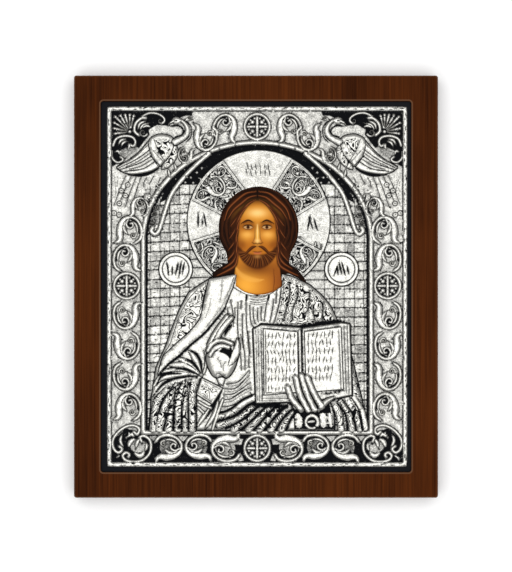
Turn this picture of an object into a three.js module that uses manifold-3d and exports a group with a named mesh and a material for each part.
// Icon panel: a walnut board with a routed recess, a painted board lying in the recess, and an
// embossed silver cover laid over the painting, with an opening for the painted head.
// Millimetres, +Z up: the panel lies on its back and the picture's top edge points towards +Y.
import * as THREE from "three";
import { mergeVertices } from "three/addons/utils/BufferGeometryUtils.js";
import Module from "manifold-3d";

const wasm = await Module();
wasm.setup();

// Walnut board
const PANEL_WIDTH = 250;
const PANEL_HEIGHT = 290;
const PANEL_THICK = 18;
const PANEL_CORNER = 1.6;
const PANEL_EASE = 1.2;
const RECESS_WIDTH = 213.6;
const RECESS_HEIGHT = 255.2;
const RECESS_DEPTH = 4;
const RECESS_CORNER = 2.2;
const RECESS_LIP = 0.7;

// Painted board
const BOARD_THICK = 0.8;
const BOARD_GAP = 0.3;

// Silver cover: every place below is measured from the middle of the cover's ground face
const COVER_WIDTH = 206.6;
const COVER_HEIGHT = 248;
const COVER_THICK = 0.9;
const COVER_SHIFT = 0.8;
const ROOT = 0.5;
const RIM_WIDTH = 3.1;
const RIM_HEIGHT = 1;

// Arched frame round the figure
const JAMB_X = 78.4;
const SILL_Y = -100.3;
const SPRING_Y = 32;
const ARCH_RISE = 67.1;
const ARCH_STEPS = 24;
const ROLL_HALF = 1.5;
const ROLL_HEIGHT = 1.5;

// Head opening, halo and name medallions
const HEAD_X = 1;
const HAIR_Y = 40.3;
const HAIR_RX = 27.5;
const HAIR_RY = 28.5;
const HALO_Y = 44.7;
const HALO_RADIUS = 49.2;
const HALO_HEIGHT = 0.6;
const HALO_SIDES = 26;
const HALO_ARMS = [
  { axis: 90, half: 29 },
  { axis: 180, half: 17 },
  { axis: -4, half: 22 },
];
const MEDALLION_X = 57;
const MEDALLION_Y = 12;
const MEDALLION_RADIUS = 11.6;
const MEDALLION_SIDES = 18;
const MEDALLION_HEIGHT = 0.8;

// Brick wall behind the figure
const BRICK_PITCH_X = 6.8;
const BRICK_PITCH_Y = 6.35;
const BRICK_JOINT = 0.9;
const BRICK_HEIGHT = 0.45;
const BRICK_COLUMNS = 4;
const BRICK_TOP = 64;
const BRICK_CLEAR = 4.8;

// Scrolls and cross roundels of the border
const BORDER_X = 89.7;
const BORDER_Y = -111.3;
const SIDE_PITCH = 20.7;
const FOOT_PITCH = 20.3;
const SCROLL_RADIUS = 8.2;
const STEM_HALF = 1.25;
const STEM_HEIGHT = 1.3;
const ROUNDEL_RADIUS = 9.3;

// Figure: heights above the cover's ground
const BODY_HEIGHT = 1.3;
const BAND_HEIGHT = 2.3;
const FOLD_HEIGHT = 2.4;
const BOOK_HEIGHT = 2.5;
const PAGE_HEIGHT = 3.2;
const HAND_HEIGHT = 4;
const HEM_Y = -98.6;

const radians = THREE.MathUtils.degToRad;
const lerp = THREE.MathUtils.lerp;

// Points and lines in the plane

const mirrored = (side, points) => points.map(([x, y]) => [side * x, y]);

const between = ([ax, ay], [bx, by], t) => [lerp(ax, bx, t), lerp(ay, by, t)];

const polar = ([x, y], radius, degrees) => [
  x + radius * Math.cos(radians(degrees)),
  y + radius * Math.sin(radians(degrees)),
];

function smooth(points, steps) {
  const curve = new THREE.SplineCurve(points.map(([x, y]) => new THREE.Vector2(x, y)));
  return curve.getPoints(steps).map(({ x, y }) => [x, y]);
}

function arc(centre, rx, ry, from, to, steps) {
  return Array.from({ length: steps + 1 }, (_, i) => {
    const angle = radians(lerp(from, to, i / steps));
    return [centre[0] + rx * Math.cos(angle), centre[1] + ry * Math.sin(angle)];
  });
}

// The corners of a regular polygon, for round forms.
const ring = (centre, radius, sides) => arc(centre, radius, radius, 0, 360 - 360 / sides, sides - 1);

// A spiral that starts on its circle and winds in to a fraction of the radius.
function spiral(centre, radius, from, sweep, inner, steps) {
  return Array.from({ length: steps + 1 }, (_, i) => {
    const t = i / steps;
    return polar(centre, radius * lerp(1, inner, t), from + sweep * t);
  });
}

function outline(points) {
  return new THREE.Shape(points.map(([x, y]) => new THREE.Vector2(x, y)));
}

function roundedRectangle(width, height, radius) {
  const x = width / 2;
  const y = height / 2;
  const corner = (sx, sy, from) =>
    arc([sx * (x - radius), sy * (y - radius)], radius, radius, from, from + 90, 3);
  return [...corner(1, 1, 0), ...corner(-1, 1, 90), ...corner(-1, -1, 180), ...corner(1, -1, 270)];
}

function isInside(points, [px, py]) {
  let inside = false;
  points.forEach(([ax, ay], i) => {
    const [bx, by] = points[(i + 1) % points.length];
    const crosses = ay > py !== by > py && px < ax + ((py - ay) * (bx - ax)) / (by - ay);
    inside = crosses ? !inside : inside;
  });
  return inside;
}

// Solids

function solid(geometry) {
  geometry.deleteAttribute("normal");
  geometry.deleteAttribute("uv");
  const welded = mergeVertices(geometry, 1e-4);
  return new wasm.Manifold(
    new wasm.Mesh({
      numProp: 3,
      vertProperties: new Float32Array(welded.attributes.position.array),
      triVerts: new Uint32Array(welded.index.array),
    }),
  );
}

const fuse = (solids) => solids.reduce((whole, next) => whole.add(next));

// An upright block of the given outline, with eased edges where an ease is given.
function block(points, bottom, top, ease = 0, easeSteps = 1) {
  const geometry = new THREE.ExtrudeGeometry(outline(points), {
    depth: top - bottom - 2 * ease,
    bevelEnabled: ease > 0,
    bevelThickness: ease,
    bevelSize: ease,
    bevelOffset: -ease,
    bevelSegments: easeSteps,
    curveSegments: 1,
  });
  geometry.translate(0, 0, bottom + ease);
  return solid(geometry);
}

// A low dome on an elliptical foot, turned about Z.
function dome([x, y], rx, ry, height, turn = 0, sides = 8) {
  const geometry = new THREE.SphereGeometry(1, sides, 4);
  geometry.rotateX(Math.PI / 2);
  geometry.scale(rx, ry, height);
  geometry.rotateZ(radians(turn));
  geometry.translate(x, y, 0);
  return solid(geometry);
}

const even = () => 1;
const leafy = (t) => 0.12 + 0.88 * Math.sin(Math.PI * Math.min(1, 0.12 + 0.88 * t)) ** 0.8;
const thinning = (t) => 1 - 0.75 * t;
const swelling = (t) => 0.3 + 0.7 * t;
const fingerlike = (t) => 0.8 + 0.2 * t;

// A rib laid along a line: above its base its section is a roof, or a flat-topped bar where crown is
// above zero. Half width and height follow taper along the line, and the foot reaches into the sheet.
function rib(line, { halfWidth, height, base = 0, crown = 0, taper = even, closed = false }) {
  const count = line.length;
  const direction = (a, b) => new THREE.Vector2(b[0] - a[0], b[1] - a[1]).normalize();
  const positions = [];
  line.forEach((point, i) => {
    const before = line[closed ? (i + count - 1) % count : Math.max(i - 1, 0)];
    const after = line[closed ? (i + 1) % count : Math.min(i + 1, count - 1)];
    const incoming = i > 0 || closed ? direction(before, point) : direction(point, after);
    const outgoing = i < count - 1 || closed ? direction(point, after) : incoming;
    const along = incoming.clone().add(outgoing).normalize();
    const mitre = 1 / Math.max(along.dot(incoming), 0.5);
    const scale = taper(i / (count - 1));
    const reach = halfWidth * scale * mitre;
    const place = (offset, z) =>
      positions.push(point[0] - along.y * offset, point[1] + along.x * offset, z);
    const top = base + (height - base) * scale;
    place(reach, -ROOT);
    place(reach, base);
    if (crown > 0) {
      place(reach * crown, top);
      place(-reach * crown, top);
    } else {
      place(0, top);
    }
    place(-reach, base);
    place(-reach, -ROOT);
  });
  const corners = crown > 0 ? 6 : 5;
  const faces = [];
  const spans = closed ? count : count - 1;
  for (let i = 0; i < spans; i += 1) {
    const here = i * corners;
    const next = ((i + 1) % count) * corners;
    for (let j = 0; j < corners; j += 1) {
      const k = (j + 1) % corners;
      faces.push(here + j, here + k, next + k, here + j, next + k, next + j);
    }
  }
  if (!closed) {
    const last = (count - 1) * corners;
    for (let j = 1; j < corners - 1; j += 1) {
      faces.push(0, j + 1, j, last, last + j, last + j + 1);
    }
  }
  const geometry = new THREE.BufferGeometry();
  geometry.setAttribute("position", new THREE.Float32BufferAttribute(positions, 3));
  geometry.setIndex(faces);
  return solid(geometry);
}

// Walnut board and painted board

function walnutPanel() {
  const body = block(
    roundedRectangle(PANEL_WIDTH, PANEL_HEIGHT, PANEL_CORNER), 0, PANEL_THICK, PANEL_EASE, 2);
  const floor = PANEL_THICK - RECESS_DEPTH;
  const recess = block(
    roundedRectangle(RECESS_WIDTH, RECESS_HEIGHT, RECESS_CORNER), floor, PANEL_THICK + RECESS_DEPTH);
  const lipOutline = roundedRectangle(
    RECESS_WIDTH + 2 * RECESS_LIP, RECESS_HEIGHT + 2 * RECESS_LIP, RECESS_CORNER + RECESS_LIP);
  const lip = block(lipOutline, PANEL_THICK - RECESS_LIP, PANEL_THICK + 3 * RECESS_LIP, RECESS_LIP);
  return body.subtract(recess).subtract(lip);
}

function paintedBoard() {
  const width = RECESS_WIDTH - 2 * BOARD_GAP;
  const height = RECESS_HEIGHT - 2 * BOARD_GAP;
  return block(roundedRectangle(width, height, RECESS_CORNER), 0, BOARD_THICK);
}

// Outlines shared by several forms of the cover

const HEAD_CENTRE = [HEAD_X, HAIR_Y];
const HALO_CENTRE = [HEAD_X, HALO_Y];

// The opening: the round of the hair, a lock tail on each shoulder and the curved neckline.
const HEAD_OPENING = [
  ...arc(HEAD_CENTRE, HAIR_RX, HAIR_RY, -42, 222, 22),
  [-28.5, 9.5],
  [-30, 6.5],
  [-18, 9],
  [-14.2, 8],
  [-15, 0.5],
  ...arc([HEAD_X, 4], 16, 9.6, 212, 328, 5),
  [16.8, 0.2],
  [17, 8.5],
  [22, 9.5],
  [34.5, 3],
  [31, 11],
];

const BODY_LEFT = [
  [-31, 6.5], [-47, -3], [-53.5, -17], [-62.5, -40], [-69.5, -56], [-72.5, -75.5], [-73.5, HEM_Y],
];
const BODY_RIGHT = [
  [17.5, 8], [27, 6], [43.5, -5], [52.5, -17], [60.5, -33], [65.5, -50.5], [72.5, -80], [75, HEM_Y],
];
const BODY_OUTLINE = [...BODY_LEFT, ...[...BODY_RIGHT].reverse()];

// Frame of the cover

function rim() {
  const x = (COVER_WIDTH - RIM_WIDTH) / 2;
  const y = (COVER_HEIGHT - RIM_WIDTH) / 2;
  const line = [[-x, -y], [x, -y], [x, y], [-x, y]];
  return rib(line, { halfWidth: RIM_WIDTH / 2, height: RIM_HEIGHT, crown: 0.6, closed: true });
}

function archedFrame() {
  const line = [
    [-JAMB_X, SILL_Y],
    [JAMB_X, SILL_Y],
    ...arc([0, SPRING_Y], JAMB_X, ARCH_RISE, 0, 180, ARCH_STEPS),
  ];
  return rib(line, { halfWidth: ROLL_HALF, height: ROLL_HEIGHT, crown: 0.5, closed: true });
}

// The slim roll that leaves the arch on each side and ends in a hook above the wall.
function hookedRoll(side) {
  const course = [[-33, 92], [-49.5, 77], [-59, 61], [-65, 46], [-68, 38.5], [-71.5, 36.5], [-73, 40]];
  return rib(smooth(mirrored(side, course), 10), { halfWidth: 1.3, height: 1.4 });
}

// Halo, medallions and wall

function halo() {
  const disc = block(ring(HALO_CENTRE, HALO_RADIUS, HALO_SIDES), -ROOT, HALO_HEIGHT);
  const edge = rib(ring(HALO_CENTRE, HALO_RADIUS - 1.4, HALO_SIDES), {
    halfWidth: 1.4, height: HALO_HEIGHT + 0.7, base: HALO_HEIGHT, closed: true,
  });
  const bands = HALO_ARMS.flatMap(({ axis, half }) => [axis - half, axis + half].map((angle) => {
    const line = [polar(HALO_CENTRE, 24, angle), polar(HALO_CENTRE, HALO_RADIUS - 2, angle)];
    return rib(line, { halfWidth: 1.6, height: HALO_HEIGHT + 0.6, base: HALO_HEIGHT, crown: 0.6 });
  }));
  const tendrils = [[40, 1], [140, -1], [-50, 1], [-142, -1]].flatMap(([angle, hand]) => [
    rib(spiral(polar(HALO_CENTRE, 37.5, angle), 7, angle - hand * 60, hand * 380, 0.25, 7), {
      halfWidth: 1.1, height: HALO_HEIGHT + 0.6, base: HALO_HEIGHT, taper: thinning,
    }),
  ]);
  return [disc, edge, ...bands, ...tendrils];
}

function medallion(side) {
  const centre = [HEAD_X + side * MEDALLION_X, MEDALLION_Y];
  const disc = block(ring(centre, MEDALLION_RADIUS, MEDALLION_SIDES), -ROOT, MEDALLION_HEIGHT);
  const edge = rib(ring(centre, MEDALLION_RADIUS - 1.2, MEDALLION_SIDES), {
    halfWidth: 1.2, height: 1.5, base: MEDALLION_HEIGHT, closed: true,
  });
  return [disc, edge];
}

// A brick shows where its middle is clear of the arch, the halo, the medallions and the figure.
function brickShows([x, y]) {
  const across = x / (JAMB_X - 10);
  const up = (y - SPRING_Y) / (ARCH_RISE - 10);
  const underArch = y < SPRING_Y || across ** 2 + up ** 2 < 1;
  const clearOf = (centre, radius) => Math.hypot(x - centre[0], y - centre[1]) > radius + BRICK_CLEAR;
  return underArch
    && clearOf(HALO_CENTRE, HALO_RADIUS)
    && clearOf([HEAD_X + Math.sign(x) * MEDALLION_X, MEDALLION_Y], MEDALLION_RADIUS)
    && !isInside(BODY_OUTLINE, [x - Math.sign(x) * BRICK_CLEAR, y]);
}

function brickWall() {
  const bricks = [];
  for (let y = SILL_Y + 5; y < BRICK_TOP; y += BRICK_PITCH_Y) {
    for (let column = 0; column < BRICK_COLUMNS; column += 1) {
      for (const side of [-1, 1]) {
        const x = side * (JAMB_X - 5.2 - column * BRICK_PITCH_X);
        if (brickShows([x, y])) {
          const brick = new THREE.BoxGeometry(
            BRICK_PITCH_X - BRICK_JOINT, BRICK_PITCH_Y - BRICK_JOINT, BRICK_HEIGHT + ROOT);
          brick.translate(x, y, (BRICK_HEIGHT - ROOT) / 2);
          bricks.push(solid(brick));
        }
      }
    }
  }
  return bricks;
}

// Border ornament

// One roundel of the running scroll: a stem that winds in, a leaf inside it and a leaf leaving it.
function scroll(centre, radius, from, hand) {
  const stem = rib(spiral(centre, radius, from, hand * 380, 0.3, 7), {
    halfWidth: STEM_HALF, height: STEM_HEIGHT, taper: thinning,
  });
  const leafOf = (points) => rib(points, { halfWidth: 1.6, height: STEM_HEIGHT, taper: leafy });
  const tail = leafOf([
    polar(centre, radius * 1.16, from - hand * 18),
    polar(centre, radius * 1.2, from - hand * 62),
  ]);
  const inner = leafOf([
    polar(centre, radius * 0.62, from + hand * 20),
    polar(centre, radius * 0.5, from + hand * 75),
    polar(centre, radius * 0.42, from + hand * 140),
  ]);
  return [stem, tail, inner];
}

function crossRoundel(centre) {
  const rimRing = rib(ring(centre, ROUNDEL_RADIUS, 12), { halfWidth: 1.3, height: 1.4, closed: true });
  const reach = ROUNDEL_RADIUS - 2.2;
  const corners = [0, 90, 180, 270].flatMap((turn) => [
    polar(centre, Math.hypot(reach, 0.9), turn - 7),
    polar(centre, Math.hypot(reach, 0.9), turn + 7),
    polar(centre, 1.3, turn + 45),
  ]);
  const cross = block(corners, -ROOT, 1.2);
  const leaves = [45, 135, 225, 315].map((angle) => rib(
    [polar(centre, 2.6, angle), polar(centre, ROUNDEL_RADIUS - 2, angle)],
    { halfWidth: 1.2, height: 1, taper: swelling }));
  return [rimRing, cross, ...leaves];
}

function border() {
  const forms = [];
  for (const side of [-1, 1]) {
    for (const step of [2, 1, -1, -2, -3, -4]) {
      const hand = side * (step % 2 === 0 ? 1 : -1);
      const from = 90 - hand * side * 60;
      forms.push(...scroll([side * BORDER_X, 0.5 + step * SIDE_PITCH], SCROLL_RADIUS, from, hand));
    }
    for (const step of [1, 2, 3]) {
      const hand = side * (step % 2 === 0 ? 1 : -1);
      forms.push(...scroll([side * step * FOOT_PITCH, BORDER_Y], SCROLL_RADIUS, 90 - side * 90, hand));
    }
    forms.push(...scroll([side * 91.5, -104], 6, 90, side));
    forms.push(...scroll([side * 82, BORDER_Y], 8, 90 + side * 60, -side));
    forms.push(...scroll([side * 21.8, 110.3], 9.8, 90 - side * 90, -side));
    forms.push(...scroll([side * 36, 100], 6.6, 90 - side * 40, side));
    forms.push(...scroll([side * 48.5, 89.6], 5, 90 - side * 40, -side));
    forms.push(...crossRoundel([side * BORDER_X, 0.5]));
    forms.push(...palmette(side), ...bird(side));
  }
  forms.push(...crossRoundel([0, 110]), ...crossRoundel([0, BORDER_Y]));
  return forms;
}

// The fan of lobes in an upper corner, between two leaf scrolls.
function palmette(side) {
  const foot = [-86.8, 106];
  const lobes = Array.from({ length: 7 }, (_, i) => {
    const angle = lerp(58, 212, i / 6);
    const line = [polar(foot, 4.5, angle), polar(foot, 12.5, angle)];
    return rib(mirrored(side, line), { halfWidth: 1.6, height: 1.4, taper: swelling });
  });
  const scrolls = [
    [[-82, 105.5], [-76, 108.5], [-69, 116], [-65, 115], [-66.5, 112]],
    [[-88.5, 101.5], [-91, 96], [-97, 89.5], [-96, 85.5], [-93, 87]],
  ].map((line) => rib(smooth(mirrored(side, line), 5), {
    halfWidth: 1.7, height: 1.4, taper: thinning,
  }));
  return [...lobes, ...scrolls];
}

// A long-tailed bird in a spandrel, its neck turned back over its wing.
function bird(side) {
  const neckLine = [[-54, 114], [-47.5, 111], [-46.5, 105], [-52, 100], [-60, 98]];
  const neck = rib(smooth(mirrored(side, neckLine), 6), { halfWidth: 3.4, height: 2, taper: swelling });
  const head = dome([side * -55.3, 113.6], 3.4, 2.7, 2, 0, 6);
  const pointed = [
    [[-58.9, 112.6], [-62, 109.8]],
    [[-52.4, 116.6], [-47, 118.2]],
  ].map((line) => rib(mirrored(side, line), { halfWidth: 1.2, height: 1.3, taper: thinning }));
  const shoulder = dome([side * -66, 94.5], 8.2, 10.4, 2.2, side * -25);
  const flight = Array.from({ length: 4 }, (_, i) => {
    const line = [
      between([-77, 100], [-72, 83], i / 3),
      between([-87, 92.5], [-80, 79], i / 3),
      between([-97, 84], [-87, 74], i / 3),
    ];
    return rib(mirrored(side, line), { halfWidth: 2.1, height: 1.7, taper: leafy });
  });
  const legs = [-63.5, -68].map((x) => rib(mirrored(side, [[x, 82.5], [x - 1, 75]]), {
    halfWidth: 0.9, height: 1.1,
  }));
  const tailEyes = [[-92, 67], [-95.5, 58.5], [-97, 50]];
  const eyes = mirrored(side, tailEyes).map((centre) => dome(centre, 2.4, 3, 1.3, 0, 6));
  const rosette = dome([side * -75.5, 62], 3.2, 3.2, 1.4, 0, 6);
  const spray = rib(smooth(mirrored(side, [[-83, 76], [-86, 66], [-82, 56], [-80, 50]]), 4), {
    halfWidth: 1.6, height: 1.4, taper: leafy,
  });
  return [neck, head, ...pointed, shoulder, ...flight, ...legs, ...eyes, rosette, spray];
}

// Figure

function foldsBetween(count, makeLine, halfWidth, height, taper = even) {
  return Array.from({ length: count }, (_, i) => {
    const line = makeLine(i / (count - 1));
    return rib(line, { halfWidth, height, base: BODY_HEIGHT, taper });
  });
}

function body() {
  return block(BODY_OUTLINE, -ROOT, BODY_HEIGHT, 0.6);
}

// The broad plain fold of the mantle that falls from the neck across the arm, and the sleeve outside it.
function mantle() {
  const band = [
    [-23.5, 6.5], [-29.5, -13], [-34, -21], [-42, -31], [-52.5, -40.5], [-62.5, -49], [-69, -57],
  ];
  const sleeve = [[-38, 2], [-46, -8], [-50, -19], [-58, -35], [-67, -51]];
  const shoulderFolds = foldsBetween(5, (t) => [
    between([21, 4], [43, -6], t), between([20, -12], [50, -18], t), between([14, -27], [56, -26], t),
  ], 2.3, FOLD_HEIGHT);
  return [
    rib(smooth(band, 8), {
      halfWidth: 9.5, height: BAND_HEIGHT, base: BODY_HEIGHT, crown: 0.75, taper: (t) => 1 - 0.6 * t,
    }),
    rib(smooth(sleeve, 5), { halfWidth: 4.6, height: 2, base: BODY_HEIGHT, crown: 0.5 }),
    ...shoulderFolds,
  ];
}

function tunic() {
  const panel = block([[-5, -8], [5, -8], [6.5, -27], [-4, -28]], -ROOT, 2, 0.4);
  const left = foldsBetween(3, (t) => [
    between([-16, -3], [-8, -7], t), between([-18, -18], [-8, -20], t), between([-15, -33], [-7, -36], t),
  ], 1.4, 2);
  const right = foldsBetween(2, (t) => [
    between([9, -6], [14, -3], t), between([10, -16], [15, -14], t), between([9, -27], [13, -27], t),
  ], 1.6, 2);
  const lap = foldsBetween(3, (t) => [
    between([-27, -84], [-14, -88], t), between([-17, -74], [-8, -80], t), between([-9, -58], [-4, -74], t),
  ], 2.2, 2.1);
  return [panel, ...left, ...right, ...lap];
}

// Drapery of the raised arm: folds drawn to a knot at the wrist, then falling straight.
function armDrapery() {
  const knot = [-39, -60.5];
  const drawn = foldsBetween(5, (t) => {
    const end = between([-50, -43], [-71, -72], t);
    const [x, y] = between(end, knot, 0.5);
    return [knot, [x + 2, y - 1 + 4 * t], end];
  }, 2.6, FOLD_HEIGHT, swelling);
  const falling = foldsBetween(6, (t) => [
    between([-68, -69], [-41, -65], t),
    between([-68, -82], [-44, -80], t),
    between([-70.5, HEM_Y], [-43.5, HEM_Y], t),
  ], 2.2, 2.2);
  const swags = foldsBetween(6, (t) => [
    between([-27, HEM_Y], [18, HEM_Y], t),
    between([-15, -87.5], [23, -92], t),
    between([-4, -80], [27, -84], t),
  ], 2.4, 2.2);
  const farSleeve = foldsBetween(4, (t) => [
    between([51, -80], [65, -76], t),
    between([54, -88], [70, -86], t),
    between([53, HEM_Y], [73, HEM_Y], t),
  ], 2.2, 2.4);
  return [...drawn, ...falling, ...swags, ...farSleeve];
}

function blessingHand() {
  const cuff = block([[-37, -62.5], [-24, -69.5], [-30.5, -80.5], [-41.5, -73]], -ROOT, 2.8, 0.5);
  const palm = dome([-25, -50], 10, 13, HAND_HEIGHT - 0.6, -8);
  const fingers = [
    [[-34, -43], [-30.5, -37.5], [-24, -36.5], [-16.5, -40]],
    [[-32.5, -41], [-28, -31], [-21.5, -20.5]],
    [[-29, -39.5], [-24.5, -31], [-19, -23]],
    [[-14.5, -38], [-13.8, -47], [-18, -56]],
  ].map((line) => rib(line, {
    halfWidth: 2.3, height: HAND_HEIGHT, base: BODY_HEIGHT, crown: 0.35, taper: (t) => 1 - 0.3 * t,
  }));
  return [cuff, palm, ...fingers];
}

function book() {
  const covers = block([
    [-3, -29], [2.5, -26], [29, -27.5], [58, -24.5], [63.5, -25.5], [65, -74.5], [32, -79], [-1.5, -80],
  ], -ROOT, BOOK_HEIGHT, 0.4);
  const leftPages = block([[2.5, -27.2], [28.4, -29], [28.4, -72.5], [4, -75.5]], -ROOT, PAGE_HEIGHT, 0.5);
  const rightPages = block([[31.4, -29], [58, -25.8], [59.5, -71], [32.4, -72.5]], -ROOT, PAGE_HEIGHT, 0.5);
  return [covers, leftPages, rightPages];
}

// The hand under the book: four fingers laid over its foot, the back of the hand and its cuff.
function holdingHand() {
  const fingers = [
    [[21, -69], [24, -77], [30, -84]],
    [[26.5, -62], [29.5, -73], [35, -84]],
    [[30.5, -61], [34, -72], [39.5, -83]],
    [[34.5, -62], [39, -72], [44.5, -81]],
    [[54, -75], [48.5, -78.5], [42, -83]],
  ].map((line) => rib(line, {
    halfWidth: 2.2, height: HAND_HEIGHT + 0.2, base: BODY_HEIGHT, crown: 0.35, taper: fingerlike,
  }));
  const back = dome([38, -84], 9.5, 5, HAND_HEIGHT - 0.2);
  const knobs = [[28.8, -93], [46.5, -93]].map((centre) => dome(centre, 4, 3.6, 2.6, 0, 6));
  const button = dome([38.2, -93.5], 5, 4.6, 3.2);
  return [...fingers, back, ...knobs, button];
}

function silverCover() {
  const sheetOutline = roundedRectangle(COVER_WIDTH, COVER_HEIGHT, 0.8);
  const sheet = block(sheetOutline, -COVER_THICK, 0);
  const relief = fuse([
    sheet,
    rim(),
    archedFrame(),
    hookedRoll(-1),
    hookedRoll(1),
    ...halo(),
    ...medallion(-1),
    ...medallion(1),
    ...brickWall(),
    ...border(),
    body(),
    ...mantle(),
    ...tunic(),
    ...armDrapery(),
    ...blessingHand(),
    ...book(),
    ...holdingHand(),
  ]);
  const slab = block(sheetOutline, -COVER_THICK, 2 * HAND_HEIGHT);
  const opening = block(HEAD_OPENING, -2 * HAND_HEIGHT, 2 * HAND_HEIGHT);
  return relief.intersect(slab).subtract(opening);
}

// Scene graph

function named(name, shape, colour, roughness, metalness) {
  const { vertProperties, triVerts } = shape.getMesh();
  const geometry = new THREE.BufferGeometry();
  geometry.setAttribute("position", new THREE.Float32BufferAttribute(vertProperties, 3));
  geometry.setIndex(Array.from(triVerts));
  geometry.computeVertexNormals();
  const material = new THREE.MeshStandardMaterial({ color: colour, roughness, metalness });
  const mesh = new THREE.Mesh(geometry, material);
  mesh.name = name;
  return mesh;
}

const panel = named("walnut_panel", walnutPanel(), 0x47200d, 0.4, 0);

const board = named("painted_board", paintedBoard(), 0x17161a, 0.55, 0);
board.position.z = PANEL_THICK - RECESS_DEPTH;

const cover = named("silver_cover", silverCover(), 0xcfcfca, 0.35, 1);
cover.position.set(COVER_SHIFT, 0, board.position.z + BOARD_THICK + COVER_THICK);

const icon = new THREE.Group();
icon.add(panel, board, cover);

export default icon;
